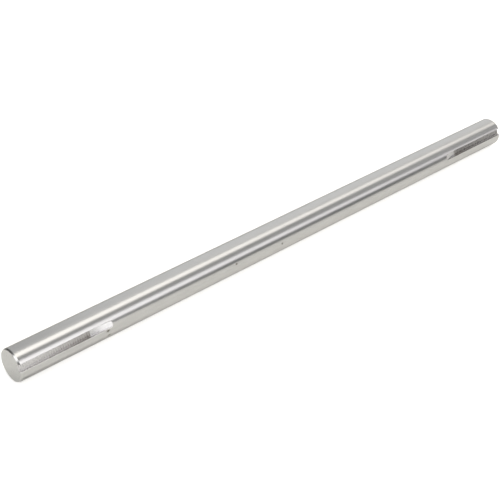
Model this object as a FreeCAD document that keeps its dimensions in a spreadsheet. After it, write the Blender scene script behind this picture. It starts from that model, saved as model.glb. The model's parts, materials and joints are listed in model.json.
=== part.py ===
import FreeCAD, Part
import math
import os

import Sketcher

# Fan shaft: one solid round bar of ground steel, chamfered at both ends, with a milled keyway
# running in from each end face. Millimetres. The axis lies along X and the origin is on it,
# halfway along. The keyways are in line with each other, on the -Y side and a little above level.
DRIVING_SIZES = [
    ("shaft_diameter", 30.1625, "ground bar, 1 3/16 in"),
    ("shaft_length", 635, "between the end faces, 25 in"),
    ("chamfer_length", 1.5, "along the axis, at each end"),
    ("chamfer_angle", 30, "degrees from the axis"),
    ("key_width", 6.35, "for a square key of 1/4 in"),
    ("key_depth", 3.175, "half the key, measured at the keyway's side"),
    ("left_keyway_length", 91.5, "from the face at -X to the end of the cutter's run-out"),
    ("right_keyway_length", 95.25, "from the face at +X to the end of the cutter's run-out"),
    ("cutter_diameter", 152.4, "side milling cutter, 6 in"),
    ("cutter_overrun", 5, "how far the keyway outline stands clear of the bar"),
    ("keyway_elevation", 18.3, "degrees above level of the keyways' open side"),
]

NODE_NAME = "fan_shaft"
LEFT_END = -1
RIGHT_END = 1

# What a keyway may take away, as a share of a straight slot of its whole length
LEAST_CUT = 0.5
MOST_CUT = 1.1

# Point numbers of a sketch line or arc, and the sketch's own origin and X axis
START = 1
END = 2
ORIGIN = (-1, 1)
X_AXIS = -1

# The same sizes as formulas on the sheet
RADIUS = "Sizes.shaft_diameter / 2"
HALF_LENGTH = "Sizes.shaft_length / 2"
FACE_RADIUS = f"{RADIUS} - Sizes.chamfer_length * tan(Sizes.chamfer_angle * 1 deg)"
FLOOR_HEIGHT = f"sqrt(({RADIUS}) ^ 2 - (Sizes.key_width / 2) ^ 2) - Sizes.key_depth"


def make_sheet(doc):
    """The driving dimensions, one to a row: name, value and note."""
    sheet = doc.addObject("Spreadsheet::Sheet", "Sizes")
    for row, (alias, value, note) in enumerate(DRIVING_SIZES, start=1):
        sheet.set(f"A{row}", alias)
        sheet.set(f"B{row}", str(value))
        sheet.set(f"C{row}", note)
        sheet.setAlias(f"B{row}", alias)
    return sheet


def new_sketch(body, name):
    """An empty sketch on the body's own XZ plane: its first direction is X and its second is Z."""
    plane = next(item for item in body.Origin.OriginFeatures if item.Role == "XZ_Plane")
    sketch = body.newObject("Sketcher::SketchObject", name)
    sketch.AttachmentSupport = [(plane, "")]
    sketch.MapMode = "FlatFace"
    return sketch


def point(x, z):
    """A sketch point."""
    return FreeCAD.Vector(x, z, 0)


def add_line(sketch, start, end):
    """A straight edge, returned by its number in the sketch."""
    return sketch.addGeometry(Part.LineSegment(start, end), False)


def join(sketch, first, second):
    """Puts two edge ends in the same place; each is an edge number and a point number."""
    sketch.addConstraint(Sketcher.Constraint("Coincident", *first, *second))


def hold(sketch, kind, first, second, formula):
    """Holds the distance from the first point to the second at a formula on the sheet."""
    guess = abs(measure(sketch, kind, first, second))
    number = sketch.addConstraint(Sketcher.Constraint(kind, *first, *second, guess))
    sketch.setExpression(f"Constraints[{number}]", formula)


def measure(sketch, kind, first, second):
    """The drawn distance between two points, along X for DistanceX and along Z for DistanceY."""
    step = sketch.getPoint(*second) - sketch.getPoint(*first)
    return step.x if kind == "DistanceX" else step.y


def hold_from_middle(sketch, side, spot, formula):
    """Holds how far a point stands from mid-length, towards the end that side names."""
    if side == RIGHT_END:
        hold(sketch, "DistanceX", ORIGIN, spot, formula)
    else:
        hold(sketch, "DistanceX", spot, ORIGIN, formula)


def turn_bar(body, sheet):
    """The chamfered bar: half of its long section, turned about the X axis."""
    sketch = new_sketch(body, "BarSection")
    half = sheet.shaft_length / 2
    radius = sheet.shaft_diameter / 2
    chamfer = sheet.chamfer_length
    face = radius - chamfer * math.tan(math.radians(sheet.chamfer_angle))
    corners = [
        point(-half, 0),
        point(-half, face),
        point(-half + chamfer, radius),
        point(half - chamfer, radius),
        point(half, face),
        point(half, 0),
    ]
    edges = [add_line(sketch, here, there) for here, there in zip(corners, corners[1:] + corners[:1])]
    # Left face, its chamfer, surface, the other chamfer, right face, centre line
    left_face, surface, right_face, centre_line = edges[0], edges[2], edges[4], edges[5]
    for here, there in zip(edges, edges[1:] + edges[:1]):
        join(sketch, (here, END), (there, START))
    sketch.addConstraint(Sketcher.Constraint("Vertical", left_face))
    sketch.addConstraint(Sketcher.Constraint("Vertical", right_face))
    sketch.addConstraint(Sketcher.Constraint("Horizontal", surface))
    sketch.addConstraint(Sketcher.Constraint("PointOnObject", centre_line, START, X_AXIS))
    sketch.addConstraint(Sketcher.Constraint("PointOnObject", centre_line, END, X_AXIS))
    hold_from_middle(sketch, LEFT_END, (left_face, START), HALF_LENGTH)
    hold_from_middle(sketch, RIGHT_END, (right_face, END), HALF_LENGTH)
    hold_from_middle(sketch, LEFT_END, (surface, START), f"{HALF_LENGTH} - Sizes.chamfer_length")
    hold_from_middle(sketch, RIGHT_END, (surface, END), f"{HALF_LENGTH} - Sizes.chamfer_length")
    hold(sketch, "DistanceY", ORIGIN, (surface, START), RADIUS)
    hold(sketch, "DistanceY", ORIGIN, (left_face, END), FACE_RADIUS)
    hold(sketch, "DistanceY", ORIGIN, (right_face, START), FACE_RADIUS)
    bar = body.newObject("PartDesign::Revolution", "Bar")
    bar.Profile = sketch
    bar.ReferenceAxis = (sketch, ["H_Axis"])
    bar.Angle = 360
    return sketch


def mill_keyway(body, sheet, name, side, length_alias):
    """One keyway, open at the end that side names: a flat floor, then the cutter's arc up to the surface."""
    sketch = new_sketch(body, name + "Outline")
    half = sheet.shaft_length / 2
    radius = sheet.shaft_diameter / 2
    clear = sheet.cutter_overrun
    cutter = sheet.cutter_diameter / 2
    floor = math.sqrt(radius ** 2 - (sheet.key_width / 2) ** 2) - sheet.key_depth
    run_out = math.sqrt(cutter ** 2 - (cutter - (radius - floor)) ** 2)
    run_out_end = side * (half - getattr(sheet, length_alias))
    floor_end = run_out_end + side * run_out
    outside = side * (half + clear)

    floor_line = add_line(sketch, point(outside, floor), point(floor_end, floor))
    circle = Part.Circle(point(floor_end, floor + cutter), FreeCAD.Vector(0, 0, 1), cutter)
    lowest = -math.pi / 2
    sweep = -side * math.asin(run_out / cutter)
    arc = sketch.addGeometry(Part.ArcOfCircle(circle, *sorted((lowest, lowest + sweep))), False)
    arc_low, arc_high = (START, END) if side == LEFT_END else (END, START)
    rise = add_line(sketch, point(run_out_end, radius), point(run_out_end, radius + clear))
    top = add_line(sketch, point(run_out_end, radius + clear), point(outside, radius + clear))
    drop = add_line(sketch, point(outside, radius + clear), point(outside, floor))

    sketch.addConstraint(Sketcher.Constraint("Tangent", floor_line, END, arc, arc_low))
    join(sketch, (arc, arc_high), (rise, START))
    join(sketch, (rise, END), (top, START))
    join(sketch, (top, END), (drop, START))
    join(sketch, (drop, END), (floor_line, START))
    for level in (floor_line, top):
        sketch.addConstraint(Sketcher.Constraint("Horizontal", level))
    for upright in (rise, drop):
        sketch.addConstraint(Sketcher.Constraint("Vertical", upright))
    number = sketch.addConstraint(Sketcher.Constraint("Radius", arc, cutter))
    sketch.setExpression(f"Constraints[{number}]", "Sizes.cutter_diameter / 2")
    hold_from_middle(sketch, side, (rise, START), f"{HALF_LENGTH} - Sizes.{length_alias}")
    hold_from_middle(sketch, side, (drop, START), f"{HALF_LENGTH} + Sizes.cutter_overrun")
    hold(sketch, "DistanceY", ORIGIN, (floor_line, START), FLOOR_HEIGHT)
    hold(sketch, "DistanceY", ORIGIN, (rise, START), RADIUS)
    hold(sketch, "DistanceY", ORIGIN, (top, START), f"{RADIUS} + Sizes.cutter_overrun")

    keyway = body.newObject("PartDesign::Pocket", name)
    keyway.Profile = sketch
    keyway.SideType = "Symmetric"
    keyway.setExpression("Length", "Sizes.key_width")
    return sketch


def check_document(doc, sketches):
    """Stops the run if an object failed or a sketch was left loose."""
    for item in doc.Objects:
        if "Invalid" in item.State or "Error" in item.State:
            raise RuntimeError(f"{item.Name} failed: {item.State}")
    for sketch in sketches:
        if not sketch.FullyConstrained:
            raise RuntimeError(f"{sketch.Name} isn't fully constrained")


def check_cut(doc, keyway, solid_before, sheet, length_alias):
    """Stops the run if a keyway took away far less or more than a straight slot as long would."""
    removed = solid_before.Shape.Volume - keyway.Shape.Volume
    straight_slot = sheet.key_width * sheet.key_depth * getattr(sheet, length_alias)
    if not LEAST_CUT * straight_slot < removed < MOST_CUT * straight_slot:
        raise RuntimeError(f"{keyway.Name} removed {removed:.0f} cubic mm")
    print(f"{keyway.Name} removed {removed:.0f} cubic mm")


def main():
    doc = FreeCAD.newDocument("FanShaft")
    sheet = make_sheet(doc)
    doc.recompute()

    body = doc.addObject("PartDesign::Body", "FanShaft")
    body.Label = NODE_NAME
    sketches = [
        turn_bar(body, sheet),
        mill_keyway(body, sheet, "LeftKeyway", LEFT_END, "left_keyway_length"),
        mill_keyway(body, sheet, "RightKeyway", RIGHT_END, "right_keyway_length"),
    ]
    # The keyways are drawn opening upwards, and are then turned down towards -Y
    turn = FreeCAD.Rotation(FreeCAD.Vector(1, 0, 0), 90 - sheet.keyway_elevation)
    body.Placement = FreeCAD.Placement(FreeCAD.Vector(0, 0, 0), turn)
    doc.recompute()

    check_document(doc, sketches)
    check_cut(doc, doc.LeftKeyway, doc.Bar, sheet, "left_keyway_length")
    check_cut(doc, doc.RightKeyway, doc.LeftKeyway, sheet, "right_keyway_length")
    if body.Shape.isNull() or not body.Shape.isValid() or len(body.Shape.Solids) != 1:
        raise RuntimeError(f"{body.Label} isn't one valid solid")

    os.makedirs("parts", exist_ok=True)
    body.Shape.exportStep(os.path.join("parts", f"{body.Label}.step"))
    box = body.Shape.BoundBox
    print(f"{body.Label}: {box.XLength:.3f} x {box.YLength:.3f} x {box.ZLength:.3f} mm")
    print(f"Volume: {body.Shape.Volume:.0f} cubic mm")


main()
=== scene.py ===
import json
import math
from collections import namedtuple

import bmesh
import bpy
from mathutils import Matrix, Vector, noise


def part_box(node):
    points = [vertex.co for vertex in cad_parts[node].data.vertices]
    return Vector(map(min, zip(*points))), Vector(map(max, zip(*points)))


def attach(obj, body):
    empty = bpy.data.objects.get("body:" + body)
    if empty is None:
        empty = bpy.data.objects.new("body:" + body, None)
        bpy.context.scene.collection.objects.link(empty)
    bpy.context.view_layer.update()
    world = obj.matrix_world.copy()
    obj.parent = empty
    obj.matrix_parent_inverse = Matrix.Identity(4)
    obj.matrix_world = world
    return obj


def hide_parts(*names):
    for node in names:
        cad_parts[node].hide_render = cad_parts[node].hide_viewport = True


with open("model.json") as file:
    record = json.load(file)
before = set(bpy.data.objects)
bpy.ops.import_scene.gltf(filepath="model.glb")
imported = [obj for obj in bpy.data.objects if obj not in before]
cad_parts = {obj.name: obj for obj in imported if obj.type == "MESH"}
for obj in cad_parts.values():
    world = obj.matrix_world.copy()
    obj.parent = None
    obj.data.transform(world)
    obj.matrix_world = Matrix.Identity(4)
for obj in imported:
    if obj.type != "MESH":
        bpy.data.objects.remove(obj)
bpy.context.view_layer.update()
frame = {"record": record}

# Fan shaft: a ground steel bar on a white table, lit by long soft lamps that lie along it.
# Metres. The shaft's axis is the X axis, and the table is one radius below it.
NODE = "fan_shaft"
PIECE = "fan_shaft_surface"
MOUNTS = {mount["name"]: mount for mount in frame["record"]["mounts"]}

MM = 0.001
HALF_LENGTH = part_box(NODE)[1][0]
RADIUS = MOUNTS["right_shaft_end"]["dims"]["r_mm"] * MM
TABLE_HEIGHT = -RADIUS

CHAMFER_LENGTH = 1.5 * MM
CHAMFER_ANGLE = math.radians(30)
FACE_RADIUS = RADIUS - CHAMFER_LENGTH * math.tan(CHAMFER_ANGLE)

# The keyways' mounts sit on the middle of their floors, and the key is as wide as it is high
KEY_SPOT = Vector(MOUNTS["left_keyway"]["pos_m"])
FLOOR_HEIGHT = math.hypot(KEY_SPOT.y, KEY_SPOT.z)
OUTWARD = Vector((0, KEY_SPOT.y, KEY_SPOT.z)).normalized()
ACROSS = Vector((0, OUTWARD.z, -OUTWARD.y))
HALF_KEY = (math.sqrt(2 * RADIUS ** 2 - FLOOR_HEIGHT ** 2) - FLOOR_HEIGHT) / 2
CUTTER_RADIUS = 76.2 * MM
CUTTER_CORNER = 0.6 * MM
CUTTER_CENTRE = FLOOR_HEIGHT + CUTTER_RADIUS

# The broken edge of a keyway's lips, and the length in which it dies out towards the tip
EDGE_BREAK = 0.18 * MM
EDGE_FADE = 4 * MM

# Each keyway has its own darkening at the end face, its own share of the run-out that the last cut left
# dull and fully darkened, and walls with a painted highlight at 1 and like the rest of the cut at 0
Keyway = namedtuple("Keyway", "side length grime dull shine")
FACE_DARKENING = {"left_keyway": 0.06, "right_keyway": 0.45}
DULL_SHARE = {"left_keyway": 0.05, "right_keyway": 0.28}
WALL_HIGHLIGHT = {"left_keyway": 1, "right_keyway": 0}

# How finely the surface is divided: round the bar and across a keyway, then along the bar
ARC_STEPS = 190
WALL_STEPS = 4
CORNER_STEPS = 4
FLOOR_STEPS = 8
FLAT_STEPS = 56
RUN_OUT_STEPS = 40
SETTLE_STEPS = 5
SETTLE_LENGTH = 3 * MM
PLAIN_STEP = 20 * MM
SAME_PLACE = 0.001 * MM
SHARP_ANGLE = math.radians(25)

# Small dents: distance from the -X face, angle from straight up towards -Y in degrees,
# length along the shaft, width round it, depth, and how much painted shade darkens them
Nick = namedtuple("Nick", "place angle length width depth stain")
NICKS = [
    Nick(85.9 * MM, 90, 2.1 * MM, 1.6 * MM, 0.18 * MM, 1.0),
    Nick(87.2 * MM, 110, 1.9 * MM, 1.3 * MM, 0.05 * MM, 0.7),
    Nick(232.3 * MM, 79, 1.6 * MM, 1.1 * MM, 0.08 * MM, 1.0),
    Nick(290.8 * MM, 88.2, 1.0 * MM, 1.5 * MM, 0.07 * MM, 1.0),
]

# The rows of points near a nick, how ragged its outline is, and how steep its sides are
NICK_STEP = 0.45 * MM
NICK_REACH = 3 * MM
RAGGED_SHARE = 0.35
RAGGED_SIZE = 0.9 * MM
NICK_STEEPNESS = 1.6

# Darkening of the colour from 0 to 1. On a floor it grows as a power of the distance from the end face,
# and it is weaker on the floor's upper part than on its lower one, which is painted shade; the two
# places where that change starts and ends are in half widths of the key. On the lips it is patchy.
DARKENING_POWER = 1.6
UPPER_DARKENING = 0.5
LOWER_DARKENING = 0.85
UPPER_PLACE = 0.1
LOWER_PLACE = -0.7
WALL_DARKENING = 0.1
LIP_DARKENING = 0.22
LIP_PATCHES = 0.5
LIP_PATCH_SIZE = 1.2 * MM

# A row of points round the bar, whether the keyway is open there, and whether its surface is the
# cutter's clean last cut; the darkening is how much darker its colour is made there, and the painted
# wall highlight how bright its walls are made
Row = namedtuple("Row", "points keyed clean grime shine", defaults=(False, 0, 0, 0))
SPOT_VALUES = ("nick_shade", "clean", "grime", "shine")
GROUND, FACED, MILLED = 0, 1, 2


def keyway(name):
    """A keyway: side is -1 or 1, and length is from the end face to its tip."""
    middle = MOUNTS[name]["pos_m"][0]
    side = math.copysign(1, middle)
    length = 2 * (HALF_LENGTH - abs(middle))
    return Keyway(side, length, FACE_DARKENING[name], DULL_SHARE[name], WALL_HIGHLIGHT[name])


def surface_height(across, radius=RADIUS):
    """Height of the round surface over the axis, this far to the side of the keyway's middle."""
    return math.sqrt(radius ** 2 - across ** 2)


def cutter_reach(across):
    """The milling cutter's radius, which is less at its rounded corners."""
    into_corner = abs(across) - (HALF_KEY - CUTTER_CORNER)
    if into_corner <= 0:
        return CUTTER_RADIUS
    drop = CUTTER_CORNER - math.sqrt(max(CUTTER_CORNER ** 2 - into_corner ** 2, 0))
    return CUTTER_RADIUS - drop


def milled_height(beyond, across):
    """Height of the milled surface over the axis, this far past the end of its flat part."""
    return CUTTER_CENTRE - math.sqrt(cutter_reach(across) ** 2 - beyond ** 2)


def run_out(across):
    """How far past the flat part the cutter comes out of the bar."""
    above = CUTTER_CENTRE - surface_height(across)
    return math.sqrt(cutter_reach(across) ** 2 - above ** 2)


def floor_places():
    """Places across the keyway's floor, from its lower corner to its upper one, walls left out."""
    flat = HALF_KEY - CUTTER_CORNER
    turn = [math.pi / 2 * step / CORNER_STEPS for step in range(CORNER_STEPS - 1, 0, -1)]
    corner = [flat + CUTTER_CORNER * math.sin(angle) for angle in turn]
    middle = [flat * (2 * step / FLOOR_STEPS - 1) for step in range(FLOOR_STEPS + 1)]
    return [-place for place in corner] + middle + corner[::-1]


def section(place, radius=RADIUS, cut=None, edge=0.0):
    """
    One closed row of points round the bar. place(across) is the distance from the end face, and
    cut(across) the milled height, or None where there is no keyway. The row starts at the upper lip,
    goes round the back to the lower one, and returns over the keyway's walls and floor.
    """
    lip = math.asin((HALF_KEY + edge) / radius)
    step = (2 * math.pi - 2 * lip) / ARC_STEPS
    turns = [lip + step * number for number in range(ARC_STEPS + 1)]
    row = [(place(HALF_KEY), radius * math.sin(turn), radius * math.cos(turn)) for turn in turns]
    top = surface_height(HALF_KEY, radius) - edge
    foot = cut(HALF_KEY) if cut else top
    wall = [top + (foot - top) * (number / WALL_STEPS) ** 2 for number in range(WALL_STEPS + 1)]
    row += [(place(HALF_KEY), -HALF_KEY, height) for height in wall]
    for across in floor_places():
        height = cut(across) if cut else surface_height(across, radius)
        row.append((place(across), across, height))
    row += [(place(HALF_KEY), HALF_KEY, height) for height in wall[::-1]]
    return row


def flat_rows(way, flat):
    """The rows from the end face to the end of the keyway's flat part."""
    rest = flat - CHAMFER_LENGTH
    distances = [0] + [CHAMFER_LENGTH + rest * number / FLAT_STEPS for number in range(FLAT_STEPS + 1)]
    rows = []
    for distance in distances:
        points = section(
            lambda across: distance,
            RADIUS if distance else FACE_RADIUS,
            lambda across: milled_height(0, across),
            EDGE_BREAK,
        )
        grime = way.grime + (1 - way.grime) * (distance / flat) ** DARKENING_POWER
        rows.append(Row(points, True, 0, grime, way.shine))
    return rows


def run_out_rows(way, flat):
    """The rows from the end of the flat part to the keyway's tip."""
    rows = []
    for number in range(1, RUN_OUT_STEPS + 1):
        share = number / RUN_OUT_STEPS
        points = section(
            lambda across: flat + run_out(across) * share,
            RADIUS,
            lambda across: milled_height(run_out(across) * share, across),
            EDGE_BREAK * min(run_out(HALF_KEY) * (1 - share) / EDGE_FADE, 1),
        )
        clean = 0 if share <= way.dull else 1
        rows.append(Row(points, number < RUN_OUT_STEPS, clean, 1 - clean, way.shine))
    return rows


def settle_rows(flat):
    """The rows past the tip, which go from the tip's curve to a straight ring round the bar."""
    end = run_out(0) + SETTLE_LENGTH
    rows = []
    for number in range(1, SETTLE_STEPS + 1):
        share = number / SETTLE_STEPS
        rows.append(Row(section(lambda across: flat + run_out(across) * (1 - share) + end * share)))
    return rows


def keyway_rows(way):
    """The rows of one end, from its face to just past its keyway's tip."""
    flat = way.length - run_out(0)
    return flat_rows(way, flat) + run_out_rows(way, flat) + settle_rows(flat)


def plain_places(start, end):
    """Distances of the rows on the plain part between the keyways, closer together at each nick."""
    count = round((end - start) / PLAIN_STEP)
    places = [start + (end - start) * number / count for number in range(1, count)]
    reach = round(NICK_REACH / NICK_STEP)
    for nick in NICKS:
        if start + NICK_REACH < nick.place < end - NICK_REACH:
            places = [place for place in places if abs(place - nick.place) > NICK_REACH + NICK_STEP]
            places += [nick.place + NICK_STEP * number for number in range(-reach, reach + 1)]
    return sorted(places)


def shaft_rows():
    """All rows from the -X face to the +X face, each with the side that its distances count from."""
    left, right = keyway("left_keyway"), keyway("right_keyway")
    start = left.length + SETTLE_LENGTH
    end = 2 * HALF_LENGTH - right.length - SETTLE_LENGTH
    plain = [Row(section(lambda across: place)) for place in plain_places(start, end)]
    near = [(left.side, row) for row in keyway_rows(left) + plain]
    far = [(right.side, row) for row in keyway_rows(right)]
    return near + far[::-1]


def dent(spot):
    """A surface point moved inwards where a nick is, and how much painted shade it gets there, from 0
    to 1.
    """
    angle = math.degrees(math.atan2(-spot.y, spot.z))
    darkest = 0.0
    moved = spot.copy()
    inward = -Vector((0, spot.y, spot.z)).normalized()
    for nick in NICKS:
        along = (spot.x + HALF_LENGTH - nick.place) / nick.length
        around = math.radians(angle - nick.angle) * RADIUS / nick.width
        ragged = RAGGED_SHARE * noise.noise(spot / RAGGED_SIZE)
        near = 1 - math.hypot(along, around) - ragged
        if near > 0:
            share = min(near * NICK_STEEPNESS, 1)
            moved += inward * nick.depth * share
            darkest = max(darkest, share * nick.stain)
    return moved, darkest


def lower_share(across):
    """How far down the keyway's floor a place lies: 0 on its upper part, 1 on its lower part."""
    share = (UPPER_PLACE - across / HALF_KEY) / (UPPER_PLACE - LOWER_PLACE)
    share = min(max(share, 0), 1)
    return share * share * (3 - 2 * share)


def darkening_at(spot, row, across, on_lip, on_wall):
    """How much darker the colour of a vertex of the row is made."""
    if on_lip:
        return LIP_DARKENING + LIP_PATCHES * noise.noise(spot / LIP_PATCH_SIZE)
    if on_wall:
        return row.grime * WALL_DARKENING
    return row.grime * (UPPER_DARKENING + (LOWER_DARKENING - UPPER_DARKENING) * lower_share(across))


def place_ring(mesh, side, row):
    """The vertices of one row, each with its dent and the painted shade in it, how cleanly cut and how
    darkened it is, and its painted wall highlight.
    """
    nick_shade, clean, grime, shine = (mesh.verts.layers.float[name] for name in SPOT_VALUES)
    lips = (0, ARC_STEPS, ARC_STEPS + 1, len(row.points) - 1)
    ring = []
    for column, (distance, across, height) in enumerate(row.points):
        spot = ACROSS * across + OUTWARD * height
        spot.x = side * (HALF_LENGTH - distance)
        on_surface = math.hypot(across, height) > RADIUS - SAME_PLACE
        on_wall = abs(across) > HALF_KEY - SAME_PLACE
        moved, stain = dent(spot) if on_surface else (spot, 0.0)
        vertex = mesh.verts.new(moved)
        vertex[nick_shade] = stain
        vertex[clean] = 1 if on_wall else row.clean
        vertex[grime] = darkening_at(spot, row, across, column in lips, on_wall)
        vertex[shine] = row.shine if on_wall else 0
        ring.append(vertex)
    return ring


def join_rings(mesh, ring, following, chamfer, keyed):
    """The faces between two rings; the columns after the arc are the keyway's, where it is open."""
    columns = len(ring)
    for column in range(columns):
        beside = (column + 1) % columns
        face = mesh.faces.new((ring[column], ring[beside], following[beside], following[column]))
        face.smooth = True
        if keyed and column >= ARC_STEPS:
            face.material_index = MILLED
        else:
            face.material_index = FACED if chamfer else GROUND


def build_shaft():
    """The whole shaft as one closed mesh."""
    rows = shaft_rows()
    mesh = bmesh.new()
    for name in SPOT_VALUES:
        mesh.verts.layers.float.new(name)
    rings = [place_ring(mesh, side, row) for side, row in rows]
    for index in range(len(rings) - 1):
        chamfer = index in (0, len(rings) - 2)
        keyed = any(row.keyed for side, row in rows[index:index + 2])
        join_rings(mesh, rings[index], rings[index + 1], chamfer, keyed)
    for ring in (rings[0], rings[-1]):
        mesh.faces.new(ring).material_index = FACED
    bmesh.ops.remove_doubles(mesh, verts=mesh.verts, dist=SAME_PLACE)
    bmesh.ops.recalc_face_normals(mesh, faces=mesh.faces)
    for edge in mesh.edges:
        if len({face.material_index for face in edge.link_faces}) > 1:
            edge.smooth = False
    data = bpy.data.meshes.new(PIECE)
    mesh.to_mesh(data)
    mesh.free()
    data.set_sharp_from_angle(angle=SHARP_ANGLE)
    return bpy.data.objects.new(PIECE, data)


# The two colour inputs of a Mix node, and its colour output
MIX_COLOURS = slice(6, 8)
MIX_RESULT = 2


class Nodes:
    """Adds and links the nodes of one material."""

    def __init__(self, name):
        self.material = bpy.data.materials.new(name)
        self.material.use_nodes = True
        self.tree = self.material.node_tree
        self.shader = self.tree.nodes["Principled BSDF"]

    def add(self, kind, **values):
        node = self.tree.nodes.new(kind)
        for name, value in values.items():
            setattr(node, name, value)
        return node

    def feed(self, socket, value):
        """Links a node's output to the socket, or sets the socket to a plain value."""
        if isinstance(value, bpy.types.NodeSocket):
            self.tree.links.new(value, socket)
        else:
            socket.default_value = value

    def set(self, name, value):
        """Feeds one input of the material's own shader."""
        self.feed(self.shader.inputs[name], value)

    def math(self, operation, *values):
        node = self.add("ShaderNodeMath", operation=operation)
        for socket, value in zip(node.inputs, values):
            self.feed(socket, value)
        return node.outputs[0]

    def product(self, first, second):
        return self.math("MULTIPLY", first, second)

    def total(self, first, second):
        return self.math("ADD", first, second)

    def place(self):
        return self.add("ShaderNodeTexCoord").outputs["Object"]

    def along_axes(self):
        node = self.add("ShaderNodeSeparateXYZ")
        self.feed(node.inputs[0], self.place())
        return node.outputs

    def noise(self, marks_per_metre, detail=2.0):
        """Cloudy noise between 0 and 1, with its own number of marks to the metre on each axis."""
        mapping = self.add("ShaderNodeMapping")
        self.feed(mapping.inputs["Vector"], self.place())
        self.feed(mapping.inputs["Scale"], marks_per_metre)
        node = self.add("ShaderNodeTexNoise")
        self.feed(node.inputs["Vector"], mapping.outputs[0])
        self.feed(node.inputs["Scale"], 1.0)
        self.feed(node.inputs["Detail"], detail)
        return node.outputs["Fac"]

    def between(self, share, low, high):
        """A value that goes from low to high as the share goes from 0 to 1, and no further."""
        node = self.add("ShaderNodeMapRange")
        self.feed(node.inputs["Value"], share)
        self.feed(node.inputs["To Min"], low)
        self.feed(node.inputs["To Max"], high)
        return node.outputs["Result"]

    def spot_value(self, name):
        """One of the values that the mesh holds at each vertex."""
        return self.add("ShaderNodeAttribute", attribute_name=name).outputs["Fac"]

    def blend(self, share, first, second):
        node = self.add("ShaderNodeMix", data_type="RGBA")
        self.feed(node.inputs[0], share)
        for socket, value in zip(node.inputs[MIX_COLOURS], (first, second)):
            self.feed(socket, (*value, 1) if isinstance(value, tuple) else value)
        return node.outputs[MIX_RESULT]

    def bump(self, height, depth, strength=1.0):
        node = self.add("ShaderNodeBump")
        self.feed(node.inputs["Height"], height)
        self.feed(node.inputs["Distance"], depth)
        self.feed(node.inputs["Strength"], strength)
        self.set("Normal", node.outputs["Normal"])


STEEL_DARK = (0.545, 0.543, 0.533)
STEEL_LIGHT = (0.585, 0.583, 0.573)
NICK_SHADE_COLOUR = (0.10, 0.08, 0.06)
GRIND_MARKS = (6500, 90, 90)
GRIND_CLOUDS = (60, 160, 160)
GRIND_ROUGHNESS = (0.28, 0.35)
GRIND_DEPTH = 0.004 * MM
GRIND_STRENGTH = 0.6
ANISOTROPY = 0.6
SMEAR_TURN = 0.25

# Noise keeps near its middle, so that a blend by it spans more than 0 to 1
NOISE_SPAN = (-1, 2)


def ground_steel():
    """Cylindrically ground: fine marks run round the bar, so reflections smear only along it."""
    nodes = Nodes("ground_steel")
    nodes.set("Metallic", 1.0)
    marks = nodes.noise(GRIND_MARKS, detail=3.0)
    clouds = nodes.noise(GRIND_CLOUDS)
    shade = nodes.product(nodes.total(marks, clouds), 0.5)
    steel = nodes.blend(nodes.between(shade, *NOISE_SPAN), STEEL_DARK, STEEL_LIGHT)
    # Painted shade darkens the nicks, by the value that each vertex holds
    nodes.set("Base Color", nodes.blend(nodes.spot_value("nick_shade"), steel, NICK_SHADE_COLOUR))
    nodes.set("Roughness", nodes.between(marks, *GRIND_ROUGHNESS))
    nodes.set("Anisotropic", ANISOTROPY)
    nodes.set("Anisotropic Rotation", SMEAR_TURN)
    tangent = nodes.add("ShaderNodeTangent", direction_type="RADIAL", axis="X")
    nodes.set("Tangent", tangent.outputs[0])
    nodes.bump(marks, GRIND_DEPTH, GRIND_STRENGTH)
    return nodes.material


# The faced grey is partly painted light: it is lighter than the ground steel's to brighten the end face
FACED_DARK = (0.59, 0.59, 0.575)
FACED_LIGHT = (0.63, 0.63, 0.62)
FACED_CLOUDS = (400, 400, 400)
FACED_ROUGHNESS = (0.24, 0.34)
RING_STEP = 0.28 * MM
RING_DEPTH = 0.0015 * MM


def faced_steel():
    """Turned end face and chamfer: rings round the axis under a slightly cloudy grey. The grey is
    lighter than the ground steel's, partly as painted light that brightens the end face.
    """
    nodes = Nodes("faced_steel")
    nodes.set("Metallic", 1.0)
    x, y, z = nodes.along_axes()
    far_out = nodes.math("SQRT", nodes.total(nodes.product(y, y), nodes.product(z, z)))
    rings = nodes.math("SINE", nodes.product(far_out, 2 * math.pi / RING_STEP))
    clouds = nodes.noise(FACED_CLOUDS, detail=4.0)
    nodes.set("Base Color", nodes.blend(clouds, FACED_DARK, FACED_LIGHT))
    nodes.set("Roughness", nodes.between(clouds, *FACED_ROUGHNESS))
    nodes.bump(rings, RING_DEPTH)
    return nodes.material


MILLED_DARK = (0.55, 0.54, 0.535)
MILLED_LIGHT = (0.58, 0.57, 0.565)
CLEAN_CUT = (0.55, 0.545, 0.55)
# The next colour is a painted highlight on the walls of the keyway at -X
PAINTED_WALL_HIGHLIGHT = (0.82, 0.815, 0.82)
# The next colour darkens the keyways; on a floor's lower part that darkening is painted shade
DARKENING_COLOUR = (0.19, 0.17, 0.15)
MILLED_CLOUDS = (300, 300, 300)
MILLED_GRAIN = (3500, 250, 250)
MILLED_ROUGHNESS = (0.22, 0.32)

# Feed marks: how far apart they are, how much they waver in radians, and how deep the hollows
# between them are. A clean cut has none, and it is finer in grain and smoother by its own share.
FEED_STEP = 2.37 * MM
FEED_WAVER = 0.5
FEED_DEPTH = 0.012 * MM
GRAIN_DEPTH = 0.0005 * MM
CLEAN_GRAIN_DEPTH = 0.0004 * MM
CLEAN_SMOOTHNESS = 0.85

# Darkening of the floor, and dark dashes in the feed marks: where across the floor they are darkest,
# how far that reaches, how strongly it shows there and what share of it further off. The dashes start
# where the floor is this darkened, and rise this fast.
FLOOR_DARKENING = 0.83
DASH_LINE = -1.4 * MM
DASH_REACH = 1.5 * MM
DASH_DARKENING = 0.33
DASH_REST = 0.25
DASH_START = 0.08
DASH_RISE = 6


def feed_marks(nodes, x, waver):
    """A wave along the bar, from 0 at each feed mark to 1 between them."""
    phase = nodes.total(nodes.product(x, math.pi / FEED_STEP), nodes.product(waver, FEED_WAVER))
    return nodes.math("ABSOLUTE", nodes.math("SINE", phase))


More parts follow.
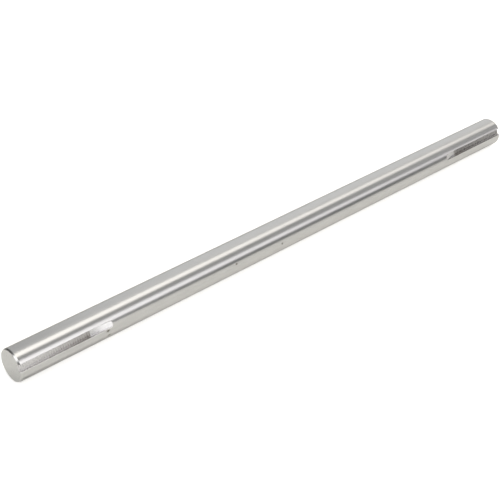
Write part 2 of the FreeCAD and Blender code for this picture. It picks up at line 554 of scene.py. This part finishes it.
def milled_darkening(nodes, y, z, feed):
    """How much darker the floor is made, more and less of it in turn from one feed mark to the next."""
    grime = nodes.spot_value("grime")
    across = nodes.total(nodes.product(y, ACROSS.y), nodes.product(z, ACROSS.z))
    off_line = nodes.math("ABSOLUTE", nodes.math("SUBTRACT", across, DASH_LINE))
    near_line = nodes.math("DIVIDE", off_line, DASH_REACH)
    dashed = nodes.between(near_line, DASH_DARKENING, DASH_REST * DASH_DARKENING)
    over_start = nodes.math("SUBTRACT", grime, DASH_START)
    dashed = nodes.product(dashed, nodes.between(nodes.product(over_start, DASH_RISE), 0, 1))
    stripes = nodes.between(nodes.product(feed, feed), -1, 1)
    return nodes.total(nodes.product(grime, FLOOR_DARKENING), nodes.product(dashed, stripes))


def milled_steel():
    """Milled keyway: straight marks across the floor, one for each step of the feed."""
    nodes = Nodes("milled_steel")
    nodes.set("Metallic", 1.0)
    x, y, z = nodes.along_axes()
    clean = nodes.spot_value("clean")
    waver = nodes.noise(MILLED_CLOUDS, detail=3.0)
    feed = feed_marks(nodes, x, waver)
    fine = nodes.noise(MILLED_GRAIN, detail=3.0)
    steel = nodes.blend(clean, nodes.blend(waver, MILLED_DARK, MILLED_LIGHT), CLEAN_CUT)
    # Painted highlight: the walls of the keyway at -X are made brighter than the rest of the cut
    steel = nodes.blend(nodes.spot_value("shine"), steel, PAINTED_WALL_HIGHLIGHT)
    # The floor is darker further from the end face and on its lower part, where it is painted shade
    nodes.set("Base Color", nodes.blend(milled_darkening(nodes, y, z, feed), steel, DARKENING_COLOUR))
    rough = nodes.between(fine, *MILLED_ROUGHNESS)
    nodes.set("Roughness", nodes.product(rough, nodes.between(clean, 1, CLEAN_SMOOTHNESS)))
    hollows = nodes.product(feed, nodes.between(clean, -FEED_DEPTH, 0))
    grain = nodes.product(fine, nodes.between(clean, GRAIN_DEPTH, CLEAN_GRAIN_DEPTH))
    nodes.bump(nodes.total(grain, hollows), 1.0)
    return nodes.material


def make_shaft():
    """The shaft with its three surfaces, in the order of GROUND, FACED and MILLED."""
    shaft = build_shaft()
    for material in (ground_steel(), faced_steel(), milled_steel()):
        shaft.data.materials.append(material)
    bpy.context.scene.collection.objects.link(shaft)
    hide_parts(NODE)
    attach(shaft, "root")


MATT_ROUGHNESS = 0.9
TABLE_HALF_SIZE = 30
TABLE_COLOUR = (0.87, 0.86, 0.82)
TABLE_GLOW = {"Is Camera Ray": 0.6, "Is Glossy Ray": 0.2, "Is Transmission Ray": 0.2}


def matt_material(name, colour):
    """A dull material of one colour, without shine."""
    material = bpy.data.materials.new(name)
    material.use_nodes = True
    inputs = material.node_tree.nodes["Principled BSDF"].inputs
    inputs["Base Color"].default_value = (*colour, 1)
    inputs["Roughness"].default_value = MATT_ROUGHNESS
    inputs["Specular IOR Level"].default_value = 0.0
    return material


def add_glow(tree, total, glows):
    """A strength that is total for all light, and more by its own glow for each kind of ray."""
    path = tree.nodes.new("ShaderNodeLightPath")
    for name, glow in glows.items():
        part = tree.nodes.new("ShaderNodeMath")
        part.operation = "MULTIPLY_ADD"
        tree.links.new(path.outputs[name], part.inputs[0])
        part.inputs[1].default_value = glow
        if isinstance(total, bpy.types.NodeSocket):
            tree.links.new(total, part.inputs[2])
        else:
            part.inputs[2].default_value = total
        total = part.outputs[0]
    return total


def make_table():
    """A white table top. Its own glow makes it white, and its colour keeps the shaft's shadow."""
    grid = bmesh.new()
    bmesh.ops.create_grid(grid, x_segments=2, y_segments=2, size=TABLE_HALF_SIZE)
    data = bpy.data.meshes.new("table")
    grid.to_mesh(data)
    grid.free()
    table = bpy.data.objects.new("table", data)
    table.location.z = TABLE_HEIGHT
    bpy.context.scene.collection.objects.link(table)
    material = matt_material("white_table", TABLE_COLOUR)
    tree = material.node_tree
    inputs = tree.nodes["Principled BSDF"].inputs
    inputs["Emission Color"].default_value = (1, 1, 1, 1)
    tree.links.new(add_glow(tree, 0.0, TABLE_GLOW), inputs["Emission Strength"])
    data.materials.append(material)


# Dark card: the outline in X and Y of its part that lies on the table, the ends of its upright part
# at the front, and the outline of a thin strip under the shaft's end at -X, which is a painted contact
# shadow
CARD_LOW = TABLE_HEIGHT + 1 * MM
CARD_HIGH = 0.2
CARD_FRONT = -1.0
CARD_START = 0.1
CARD_END = 2.6
CARD_FLAT = [
    (CARD_START, CARD_FRONT),
    (0.0, -0.34),
    (-0.14, -0.2),
    (0.28, -0.1),
    (0.7, -0.3),
    (1.45, CARD_FRONT),
]
CONTACT_SHADOW_STRIP = [(-HALF_LENGTH, -RADIUS), (-HALF_LENGTH, -0.87 * RADIUS), (-0.15, -0.91 * RADIUS)]
CARD_COLOUR = (0.11, 0.115, 0.13)


def make_dark_card():
    """
    A dark card in front, flat on the table and then upright: it draws the dark line along the bar. A
    thin strip of it under the end at -X, which ends in a point, is a painted contact shadow: it darkens
    the bar's lower edge there in reflections.
    """
    flat = [(x, y, CARD_LOW) for x, y in CARD_FLAT]
    upright = [
        (CARD_START, CARD_FRONT, CARD_LOW),
        (CARD_END, CARD_FRONT, CARD_LOW),
        (CARD_END, CARD_FRONT, CARD_HIGH),
        (CARD_START, CARD_FRONT, CARD_HIGH),
    ]
    # The strip under the -X end is painted contact shadow, seen only in reflections
    strip = [(x, y, CARD_LOW) for x, y in CONTACT_SHADOW_STRIP]
    spots = []
    faces = []
    for outline in (flat, upright, strip):
        faces.append(list(range(len(spots), len(spots) + len(outline))))
        spots += outline
    data = bpy.data.meshes.new("dark_card")
    data.from_pydata(spots, [], faces)
    card = bpy.data.objects.new("dark_card", data)
    bpy.context.scene.collection.objects.link(card)
    data.materials.append(matt_material("dark_card", CARD_COLOUR))
    card.visible_camera = False
    card.visible_diffuse = False
    card.visible_shadow = False


# Soft lamps parallel to the shaft, at one distance from its axis. Each fills the angles from low to
# high, in degrees from straight up towards -Y, and the X from start to end.
Strip = namedtuple("Strip", "low high start end brightness")
LAMP_DISTANCE = 1.3
CREAM = (1.03, 1.0, 0.955)
TOP_STRIPS = [
    Strip(-9, 20, -0.6, 0.3, 2.0),
    Strip(-9, 20, 0.3, 0.7, 1.75),
    Strip(-8, 19, 0.7, 1.4, 1.5),
    Strip(-8, 19, 1.4, 2.6, 1.3),
]
PINK = (1.02, 1.0, 1.015)
FRONT_STRIPS = [
    Strip(44, 73, -0.7, 0.25, 2.0),
    Strip(49, 74, 0.25, 0.7, 1.6),
    Strip(53, 75, 0.7, 1.4, 1.27),
    Strip(54, 76, 1.4, 3.2, 0.88),
]
WHITE = (1.0, 1.0, 1.0)
FILLS = [
    Strip(-84, -14, -0.15, 0.3, 0.42),
    Strip(-84, -14, 0.3, 3.2, 0.85),
    Strip(22, 48, -0.7, 1.3, 0.2),
    Strip(22, 48, 1.3, 3.2, 0.5),
    Strip(-3, 40, -1.7, -0.75, 2.2),
    Strip(82, 90.5, -0.7, 0.04, 1.85),
]

# The panel that lies on the table and shines upwards
PANEL_PLACE = (-0.36, -0.75, TABLE_HEIGHT + 2 * MM)
PANEL_TILT = math.pi
PANEL_LENGTH = 0.66
PANEL_WIDTH = 0.98
PANEL_BRIGHTNESS = 1.5


def add_lamp(place, tilt, length, width, brightness, colour):
    """
    One soft lamp, with the brightness that a white card in its place would have. Its length lies
    along X, and it is tilted about X from facing straight down.
    """
    data = bpy.data.lights.new("soft_lamp", "AREA")
    data.shape = "RECTANGLE"
    data.size = length
    data.size_y = width
    data.energy = brightness * math.pi * length * width
    data.color = colour
    lamp = bpy.data.objects.new("soft_lamp", data)
    lamp.location = place
    lamp.rotation_euler.x = tilt
    lamp.visible_camera = False
    bpy.context.scene.collection.objects.link(lamp)


def add_strip(strip, colour):
    """A lamp that fills one strip."""
    middle = math.radians((strip.low + strip.high) / 2)
    width = 2 * LAMP_DISTANCE * math.tan(math.radians(strip.high - strip.low) / 2)
    y = -LAMP_DISTANCE * math.sin(middle)
    z = LAMP_DISTANCE * math.cos(middle)
    place = ((strip.start + strip.end) / 2, y, z)
    add_lamp(place, middle, strip.end - strip.start, width, strip.brightness, colour)


def make_lamps():
    """
    Two bright strips, each of lamps end to end that are dimmer towards +X, the fills round them, and
    a panel that lies on the table in front of the keyway at -X.
    """
    for strips, colour in ((TOP_STRIPS, CREAM), (FRONT_STRIPS, PINK), (FILLS, WHITE)):
        for strip in strips:
            add_strip(strip, colour)
    add_lamp(PANEL_PLACE, PANEL_TILT, PANEL_LENGTH, PANEL_WIDTH, PANEL_BRIGHTNESS, WHITE)


WORLD_LIGHT = 0.12
WORLD_GLOW = {"Is Camera Ray": 0.58, "Is Glossy Ray": 0.01, "Is Transmission Ray": 0.01}


def make_world():
    """A dim world that looks as pale as the far end of the table to the camera."""
    world = bpy.data.worlds.new("studio")
    bpy.context.scene.world = world
    world.use_nodes = True
    tree = world.node_tree
    inputs = tree.nodes["Background"].inputs
    inputs["Color"].default_value = (1, 1, 1, 1)
    tree.links.new(add_glow(tree, WORLD_LIGHT, WORLD_GLOW), inputs["Strength"])


# The camera's angles are in degrees, its lens and sensor in millimetres
CAMERA_PLACE = (-0.65827, -0.64550, 0.54542)
CAMERA_PITCH = 58.242
CAMERA_HEADING = -43.085
LENS = 79.435
SENSOR_WIDTH = 36


def make_camera():
    data = bpy.data.cameras.new("camera")
    data.sensor_width = SENSOR_WIDTH
    data.lens = LENS
    camera = bpy.data.objects.new("camera", data)
    camera.location = CAMERA_PLACE
    camera.rotation_euler = (math.radians(CAMERA_PITCH), 0, math.radians(CAMERA_HEADING))
    bpy.context.scene.collection.objects.link(camera)
    bpy.context.scene.camera = camera


make_shaft()
make_table()
make_dark_card()
make_lamps()
make_world()
make_camera()
bpy.context.scene.view_settings.view_transform = "Standard"
